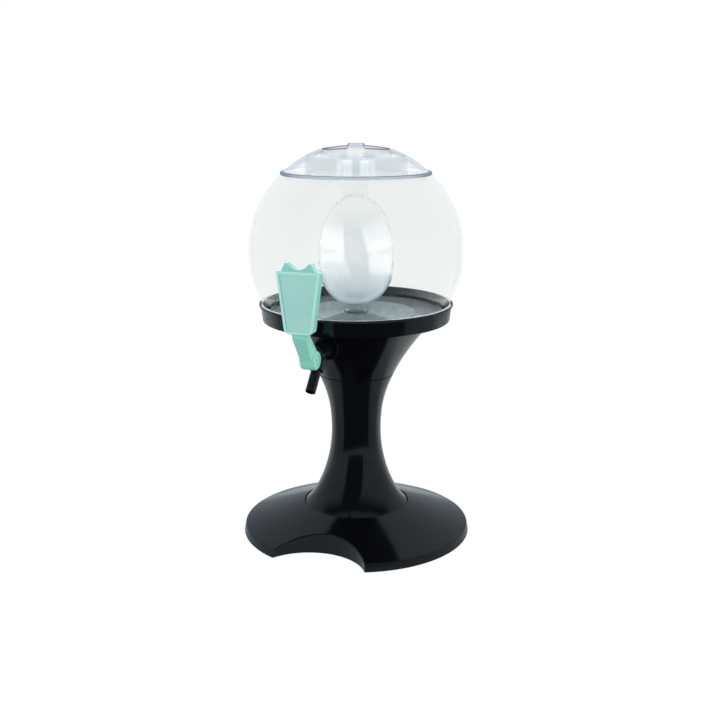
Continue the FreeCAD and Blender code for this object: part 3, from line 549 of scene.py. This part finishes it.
pockets = {
    "centre": 0.008,        # middle of a finger pocket's round side, from the middle of the bar
    "radius": 0.025,
    "bar": 0.0076,          # half of the bar's width
    "line": 0.0009,         # half of the width of the painted shade line round a pocket
    "lineShade": (0.12, 0.15, 0.21),
    "lineDepth": 0.0014,    # the line goes this far down from the dome's face
    "lineEdge": 0.0003,
    "domeCentre": 0.2943,
    "domeRadius": 0.107,
}


def capPlastic(name, colour, edgeColour):
    material = clearPlastic(name, colour, edgeColour, edge=(0.6, 1.0), Coat_Weight=0.15,
                            Coat_Roughness=0.03)
    tree = material.node_tree
    place = barPlace(tree, (-2000, 700))
    x, y = splitPlace(tree, place, (-1800, 700))[:2]
    out = mathNode(tree, "ABSOLUTE", (-1600, 800), x)
    off = mathNode(tree, "SUBTRACT", (-1450, 800), out, pockets["centre"])
    square = mathNode(tree, "MULTIPLY", (-1450, 600), y, y)
    square = mathNode(tree, "MULTIPLY_ADD", (-1300, 800), off, off, square)
    away = mathNode(tree, "SQRT", (-1150, 800), square)
    roundSide = mathNode(tree, "SUBTRACT", (-1000, 800), away, pockets["radius"])
    barSide = mathNode(tree, "SUBTRACT", (-1000, 600), pockets["bar"], out)
    outside = mathNode(tree, "MAXIMUM", (-850, 700), roundSide, barSide)
    gap = mathNode(tree, "ABSOLUTE", (-700, 700), outside)
    line = softStep(tree, gap, pockets["line"], pockets["line"] - pockets["lineEdge"], (-550, 700))
    reach = distanceFrom(tree, place, (0, 0, pockets["domeCentre"]), (-1000, 1000))
    low = pockets["domeRadius"] - pockets["lineDepth"]
    shallow = softStep(tree, reach, low, low + pockets["lineEdge"], (-550, 1000))
    share = mathNode(tree, "MULTIPLY", (-350, 800), line, shallow)
    # painted shade: a dark line round each finger pocket, where the clear edge looks dark
    paintOver(material, share, pockets["lineShade"], (-100, 600))
    return material


cupPaintedLight = {
    "light": (0.016, 0.021),             # painted light: the cup's wall is left light this far out from the bar's line
    "sides": (0.865, 0.875, 0.878),      # and takes this painted shade further out
}


def cupPlastic(name, colour, edgeColour):
    material = clearPlastic(name, colour, edgeColour, Coat_Weight=0.12, Coat_Roughness=0.03)
    tree = material.node_tree
    x = splitPlace(tree, barPlace(tree, (-2000, 700)), (-1800, 700))[0]
    out = mathNode(tree, "ABSOLUTE", (-1600, 800), x)
    side = softStep(tree, out, *cupPaintedLight["light"], (-1400, 800))
    # painted light and shade: light along the bar's line, darker on the sides
    paintOver(material, side, cupPaintedLight["sides"], (-100, 600))
    return material


streaks = {
    "clear": 0.87,                       # transmission of the globe's floor, the rest is a pale haze
    # painted reflections: the floor's darker tint in the streaks, with lighter floor between them
    "dim": (0.62, 0.75, 0.84),
    "dimFrom": (0.62, 0.35),             # cloud values between which the streaks begin
    "across": 190.0,                     # how often they change outwards from the drain
    "round": 3.4,                        # and on the way round it
}


def streakedReflectionPlastic(name, colour, edgeColour, ior):
    material = clearPlastic(name, colour, edgeColour, ior, Coat_Weight=0.06, Coat_Roughness=0.12,
                            Coat_IOR=1.45)
    tree = material.node_tree
    shaderOf(material).inputs["Transmission Weight"].default_value = streaks["clear"]
    place = objectPlace(tree, (-1800, 700))
    x, y = splitPlace(tree, place, (-1600, 500))[:2]
    reach = distanceFromAxis(tree, place, (-1500, 700))
    angle = mathNode(tree, "ARCTAN2", (-1250, 500), y, x)
    streakPlace = addNode(tree, "ShaderNodeCombineXYZ", (-950, 600))
    join(tree, mathNode(tree, "MULTIPLY", (-1100, 700), reach, streaks["across"]), streakPlace.inputs[0])
    join(tree, mathNode(tree, "MULTIPLY", (-1100, 500), angle, streaks["round"]), streakPlace.inputs[1])
    noise = addNode(tree, "ShaderNodeTexNoise", (-800, 600), Scale=1.0, Detail=4.0)
    join(tree, streakPlace.outputs[0], noise.inputs["Vector"])
    share = softStep(tree, noise.outputs[0], *streaks["dimFrom"], (-600, 600))
    # painted reflections: streaks outwards from the drain and round it
    paintOver(material, share, streaks["dim"], (-200, 500))
    return material


milk = {
    "foot": (0.290, 0.240),              # painted shade: heights between which the core's lower end turns blue-grey
    "footShade": (0.79, 0.865, 0.90),
    "fadeFrom": (0.262, 0.290),          # its outline softens above this
}


def milkPlastic(name, ior, fade, clearTop=None, colour=(0.99, 0.995, 0.998), **sockets):
    material = plastic(name, colour, (0.28, 0.34), ripple=0.3, bump=0.04, colourShift=0.01,
                       Transmission_Weight=1.0, IOR=ior, **sockets)
    tree = material.node_tree
    shader = shaderOf(material)
    height = splitPlace(tree, objectPlace(tree, (-1200, 700)), (-1000, 700))[2]
    foot = softStep(tree, height, *milk["foot"], (-800, 700))
    # painted shade: the core darkens to blue-grey towards its lower end
    paintOver(material, foot, milk["footShade"], (-400, 500))
    facing = addNode(tree, "ShaderNodeLayerWeight", (-800, 900), Blend=0.5).outputs["Facing"]
    faded = softStep(tree, facing, *fade, (-600, 900))
    upper = softStep(tree, height, *milk["fadeFrom"], (-600, 1000))
    faded = mathNode(tree, "MULTIPLY", (-500, 900), faded, upper)
    join(tree, opposite(tree, faded, (-400, 900)), shader.inputs["Alpha"])
    if clearTop:
        top = softStep(tree, height, *clearTop, (-800, 1100))
        join(tree, opposite(tree, top, (-400, 1100)), shader.inputs["Coat Weight"])
    return material


black = (0.0018, 0.0020, 0.0026)
blackGloss = (0.10, 0.16)
glossBlack = plastic("glossBlack", black, blackGloss, IOR=1.5)
seamBlack = seamPlastic("seamBlack", black, blackGloss)
trayBlackPaintedLight = trayPlastic("trayBlackPaintedLight", black, blackGloss)
tapBlack = plastic("tapBlack", (0.003, 0.0034, 0.005), (0.12, 0.2), IOR=1.5)
innerBlack = plastic("innerBlack", (0.02, 0.02, 0.022), (0.3, 0.42), grain=0.2, bump=0.3)
mintShell = leverPlastic("mintShell", (0.275, 0.69, 0.60), (0.24, 0.32))
mintInsert = plastic("mintInsert", (0.395, 0.75, 0.69), (0.34, 0.42), grain=0.25, bump=0.2)
clearWall = clearPlastic("clearWall", (0.912, 0.930, 0.926), (0.85, 0.88, 0.895), edge=(0.72, 1.0),
                         Coat_Weight=0.10, Coat_Roughness=0.02)
clearFloor = streakedReflectionPlastic("clearFloor", (0.88, 0.95, 0.99), (0.90, 0.93, 0.95), 1.02)
clearLid = clearPlastic("clearLid", (0.955, 0.968, 0.977), (0.58, 0.65, 0.74), Coat_Weight=0.12,
                        Coat_Roughness=0.03)
# painted shade: the clear step round the lid's foot is dark blue-grey, the dark line that a clear edge
# shows
clearRim = clearPlastic("clearRim", (0.33, 0.39, 0.46), (0.08, 0.11, 0.16), edge=(0.02, 0.75),
                        wayOut=(0.93, 0.94, 0.95))
# painted highlight: the drain's clear bore is pale and opaque, so a light ring shows round the drain
drainHighlight = plastic("drainHighlight", (0.62, 0.70, 0.70), (0.3, 0.4), bump=0.1)
clearCap = capPlastic("clearCap", (0.945, 0.953, 0.945), (0.50, 0.56, 0.63))
cupClear = cupPlastic("cupClear", (0.955, 0.968, 0.972), (0.58, 0.64, 0.70))
faint = clearPlastic("faint", (0.985, 0.988, 0.99), (0.93, 0.94, 0.96))
milkOuter = milkPlastic("milkOuter", 1.12, fade=(0.36, 0.70), clearTop=(0.305, 0.347), Coat_Weight=1.0,
                        Coat_Roughness=0.02, Coat_IOR=2.1)
milkInner = milkPlastic("milkInner", 1.04, fade=(0.30, 0.62))
milkNeck = milkPlastic("milkNeck", 1.01, fade=(0.35, 0.95), colour=(0.955, 0.967, 0.975))
milkGloss = milkPlastic("milkGloss", 1.05, fade=(0.6, 1.0), Coat_Weight=1.0, Coat_Roughness=0.02,
                        Coat_IOR=2.3)
padPale = plastic("padPale", (0.58, 0.66, 0.61), (0.7, 0.8), grain=0.3, bump=0.2, Specular_IOR_Level=0.12)
sealGrey = plastic("sealGrey", (0.5, 0.52, 0.52), (0.4, 0.5))
rubberBlack = plastic("rubberBlack", (0.02, 0.02, 0.02), (0.6, 0.75), grain=0.5, bump=0.3)
screwSteel = plastic("screwSteel", (0.55, 0.55, 0.57), (0.25, 0.4), Metallic=1.0)
print("finishes made")

finishes = {
    glossBlack: ["base_shell", "funnel"],
    trayBlackPaintedLight: ["collar"],
    seamBlack: ["column"],
    innerBlack: ["base_plate", "outlet_chamber", "tap_nut", "valve_stem"],
    tapBlack: ["tap_body", "tap_bonnet", "spout"],
    mintShell: ["lever"],
    mintInsert: ["handle_panel"],
    clearCap: ["grip_cap"],
    faint: ["lid_seal", "cap_seal", "core_seal"],
    padPale: ["seat_pad"],
    sealGrey: ["globe_seal", "shank_seal", "stem_seal", "valve_seal"],
    rubberBlack: ["rubber_feet", "tap_gasket"],
    screwSteel: ["base_screws", "column_screws", "collar_screws", "chamber_screws", "tap_washer",
                 "pivot_pin"],
}
for material, names in finishes.items():
    for name in names:
        slots = nodes[name].data.materials
        slots.clear()
        slots.append(material)
print("CAD nodes finished")


# Turned pieces: an outline of (radius, height) points, spun about the stand's axis.
# A third number rounds the corner there.

def arc(middle, start, end, squash=1.0, finest=2.0, fullness=2.0):
    first = math.atan2((start[1] - middle[1]) / squash, start[0] - middle[0])
    last = math.atan2((end[1] - middle[1]) / squash, end[0] - middle[0])
    radius = math.hypot(start[0] - middle[0], (start[1] - middle[1]) / squash)
    steps = max(3, math.ceil(abs(math.degrees(last - first)) / finest))
    points = []
    for step in range(steps + 1):
        angle = first + (last - first) * step / steps
        out, rise = (math.copysign(abs(part) ** (2 / fullness), part)
                     for part in (math.cos(angle), math.sin(angle)))
        points.append((middle[0] + radius * out, middle[1] + radius * squash * rise))
    return points


def roundCorners(bm, rounds):
    for size in sorted(set(rounds.values())):
        corners = [vert for vert, amount in rounds.items() if amount == size]
        bmesh.ops.bevel(bm, geom=corners, offset=size, offset_type="OFFSET", segments=3, profile=0.5,
                        affect="VERTICES", material=-1)


def turned(name, outline, body, slot, materials, facets=256):
    bm = bmesh.new()
    rounds = {}
    for point in outline:
        vert = bm.verts.new((point[0], 0, point[1]))
        if len(point) > 2:
            rounds[vert] = point[2]
    bm.faces.new(bm.verts)
    roundCorners(bm, rounds)
    bmesh.ops.delete(bm, geom=bm.faces[:], context="FACES_ONLY")
    onAxis = [edge for edge in bm.edges if all(abs(vert.co.x) < 1e-7 for vert in edge.verts)]
    bmesh.ops.delete(bm, geom=onAxis, context="EDGES")
    bmesh.ops.spin(bm, geom=bm.verts[:] + bm.edges[:], cent=(0, 0, 0), axis=(0, 0, 1), angle=math.tau,
                   steps=facets, use_merge=True)
    bmesh.ops.remove_doubles(bm, verts=bm.verts[:], dist=1e-7)
    bmesh.ops.recalc_face_normals(bm, faces=bm.faces[:])
    for edge in bm.edges:
        edge.smooth = edge.calc_face_angle(0) < math.radians(40)
    for face in bm.faces:
        face.smooth = True
    mesh = bpy.data.meshes.new(name)
    bm.to_mesh(mesh)
    bm.free()
    for material in materials:
        mesh.materials.append(material)
    piece = bpy.data.objects.new(name, mesh)
    bpy.context.scene.collection.objects.link(piece)
    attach(piece, body)
    return piece


globe = {
    "radius": 0.107,
    "wall": 0.0025,
    "mouth": 0.0749,
    "corner": 0.004,
    "innerCorner": [(0, 0.0015), (0.0012, 0.00035), (0.003, 0)],   # in from the wall, up from the floor
    "spigot": 0.012,
    "spigotWall": 0.0034,
    "drain": 0.0095,
    "drainLip": 0.0016,
    "edge": 0.0005,
}
touch = 0.00006      # keeps clear faces that rest on another piece out of its plane
globeLow, globeHigh = (corner[2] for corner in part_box("globe"))
globeCentre = globeHigh - math.sqrt(globe["radius"] ** 2 - globe["mouth"] ** 2)
globeInner = globe["radius"] - globe["wall"]


def sphereRadius(height, radius):
    return math.sqrt(radius ** 2 - (height - globeCentre) ** 2)


def sphereHeight(distance, radius):
    return globeCentre + math.sqrt(radius ** 2 - distance ** 2)


def makeGlobe():
    radius, edge, mouth = globe["radius"], globe["edge"], globe["mouth"]
    under = globeLow + globe["spigot"] + touch
    top = globeHigh - touch
    floor = globeLow + globe["spigot"] + globe["wall"]
    corner = globe["corner"]
    cornerRadius = sphereRadius(under + corner, radius)
    innerMouth = sphereRadius(top, globeInner)
    innerFoot = floor + globe["innerCorner"][0][1]
    innerLow = sphereRadius(innerFoot, globeInner)
    spigot = globe["drain"] + globe["spigotWall"]
    drain, lip = globe["drain"], globe["drainLip"]
    middle = (0, globeCentre)
    outline = [(drain, globeLow), (spigot, globeLow, edge), (spigot, under)]
    outline += arc((cornerRadius - corner, under + corner), (cornerRadius - corner, under),
                   (cornerRadius, under + corner), finest=15)
    outline += arc(middle, (cornerRadius, under + corner), (mouth, top))[1:-1]
    outline += [(mouth, top, edge), (innerMouth, top, edge)]
    outline += arc(middle, (innerMouth, top), (innerLow, innerFoot))[1:]
    outline += [(innerLow - out, floor + rise) for out, rise in globe["innerCorner"][1:]]
    outline += [(drain + lip, floor, edge), (drain, floor - lip, edge)]
    piece = turned("clearGlobe", outline, "stand", "clear_plastic", [clearWall, clearFloor, drainHighlight])
    for face in piece.data.polygons:
        if face.center.z < floor + 0.0001:
            # the drain's bore takes the painted highlight
            if math.hypot(*face.center[:2]) < drain + lip:
                face.material_index = 2
            elif abs(face.normal.z) > 0.9:
                face.material_index = 1
    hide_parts("globe")


makeGlobe()
print("globe turned")


lid = {
    "wall": 0.0025,
    "rim": 0.0026,        # height of the step round the dome's foot
    "step": 0.0005,       # and how far it stands out
    "skirt": 0.0066,
    "skirtGap": 0.0022,
    "skirtWall": 0.002,
    "foot": 0.0012,       # height over the rim where the dome's inside ends
    "holeGap": 0.00035,
    "holeCorner": 0.0002,
    "holeWall": 0.002,
    "lip": 0.002,         # thickness of the ledge that the cap rests on
    "lipInner": 0.0455,
    "edge": 0.0004,
}


def makeLidRing():
    edge, radius = lid["edge"], globe["radius"]
    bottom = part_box("lid_ring")[0][2] + lid["skirt"] + touch
    rimTop = bottom + lid["rim"]
    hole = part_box("cap_cup")[1][0] + lid["holeGap"]
    holeCorner = hole + lid["holeCorner"]
    holeOuter = hole + lid["holeWall"]
    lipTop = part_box("cap_seal")[0][2] - touch
    lipUnder, lipInner = lipTop - lid["lip"], lid["lipInner"]
    inner = radius - lid["wall"]
    domeFoot = sphereRadius(rimTop, radius) - lid["step"]
    skirtOuter = sphereRadius(globeHigh, globeInner) - lid["skirtGap"]
    skirtInner = skirtOuter - lid["skirtWall"]
    skirtFoot = bottom - lid["skirt"]
    innerFoot = rimTop + lid["foot"]
    middle = (0, globeCentre)
    outline = [(globe["mouth"], bottom, edge), (globe["mouth"], rimTop, edge)]
    outline += arc(middle, (domeFoot, sphereHeight(domeFoot, radius)),
                   (holeCorner, sphereHeight(holeCorner, radius)))[:-1]
    outline += [(hole, sphereHeight(hole, radius), edge), (hole, lipTop, edge), (lipInner, lipTop, edge),
                (lipInner, lipUnder, edge), (holeOuter, lipUnder, edge)]
    outline += arc(middle, (holeOuter, sphereHeight(holeOuter, inner)),
                   (sphereRadius(innerFoot, inner), innerFoot))
    outline += [(skirtInner, innerFoot), (skirtInner, skirtFoot, edge), (skirtOuter, skirtFoot, edge),
                (skirtOuter, bottom)]
    piece = turned("clearLidRing", outline, "lid", "clear_lid", [clearLid, faint, clearRim])
    for face in piece.data.polygons:
        if face.center.z < bottom - edge:
            face.material_index = 1
        elif math.hypot(*face.center[:2]) > domeFoot - edge and face.center.z < rimTop + edge:
            face.material_index = 2
    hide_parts("lid_ring")


makeLidRing()
print("lid ring turned")


cup = {
    "wall": 0.002,
    "skirt": 0.015,
    "bossBore": 0.01315,
    "bossWall": 0.0028,
    "edge": 0.0005,
    "bend": 0.0009,
}


def makeCup():
    low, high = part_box("cap_cup")
    radius, top = high[0], high[2] - touch
    under = top - cup["wall"]
    skirtFoot = under - cup["skirt"]
    bore, boss = cup["bossBore"], cup["bossBore"] + cup["bossWall"]
    inner = radius - cup["wall"]
    edge, bend = cup["edge"], cup["bend"]
    outline = [(bore, low[2], edge), (boss, low[2], edge), (boss, under, bend), (inner, under, bend),
               (inner, skirtFoot, edge), (radius, skirtFoot, edge), (radius, top), (bore, top)]
    piece = turned("clearCup", outline, "core", "clear_lid", [cupClear, faint], facets=192)
    for face in piece.data.polygons:
        if math.hypot(*face.center[:2]) < boss + bend and face.center.z < under:
            face.material_index = 1
    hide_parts("cap_cup")


makeCup()
print("cup turned")


core = {
    "lower": 0.0553,      # from its widest place down to its lowest point
    "upper": 0.0575,      # and up to where its round would close
    "fullness": 2.3,      # 2 is an ellipse, more fills out the lower end
    "wall": 0.0018,
    "neck": 0.013,
    "neckWall": 0.0022,
    "shoulder": 0.002,
}


def makeCore():
    low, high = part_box("ice_core")
    radius, foot = high[0], low[2]
    widest = foot + core["lower"]
    wall, full = core["wall"], core["fullness"]
    neck, bore = core["neck"], core["neck"] - core["neckWall"]
    innerRadius, innerFoot = radius - wall, foot + wall
    innerLower, innerUpper = core["lower"] - wall, core["upper"] - wall
    middle = (0, widest)
    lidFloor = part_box("cap_seal")[0][2] - lid["lip"]
    shoulder = widest + core["upper"] * math.sqrt(1 - (neck / radius) ** 2)
    innerShoulder = widest + innerUpper * math.sqrt(1 - (bore / innerRadius) ** 2)
    outline = arc(middle, (0, foot), (radius, widest), core["lower"] / radius, fullness=full)[:-1]
    outline += arc(middle, (radius, widest), (neck, shoulder), core["upper"] / radius)[:-1]
    outline += [(neck, shoulder, core["shoulder"]), (neck, lidFloor), (neck, high[2]), (bore, high[2])]
    outline += arc(middle, (bore, innerShoulder), (innerRadius, widest), innerUpper / innerRadius)[:-1]
    outline += arc(middle, (innerRadius, widest), (0, innerFoot), innerLower / innerRadius, fullness=full)
    piece = turned("milkCore", outline, "core", "milky_plastic",
                   [milkOuter, milkInner, milkNeck, milkGloss], facets=192)
    for face in piece.data.polygons:
        if face.normal.dot(Vector((*face.center[:2], face.center[2] - widest))) < 0:
            face.material_index = 1
        elif face.center.z > shoulder + core["shoulder"] / 2:
            face.material_index = 2 if face.center.z < lidFloor else 3
    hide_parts("ice_core")


makeCore()
print("ice core turned")
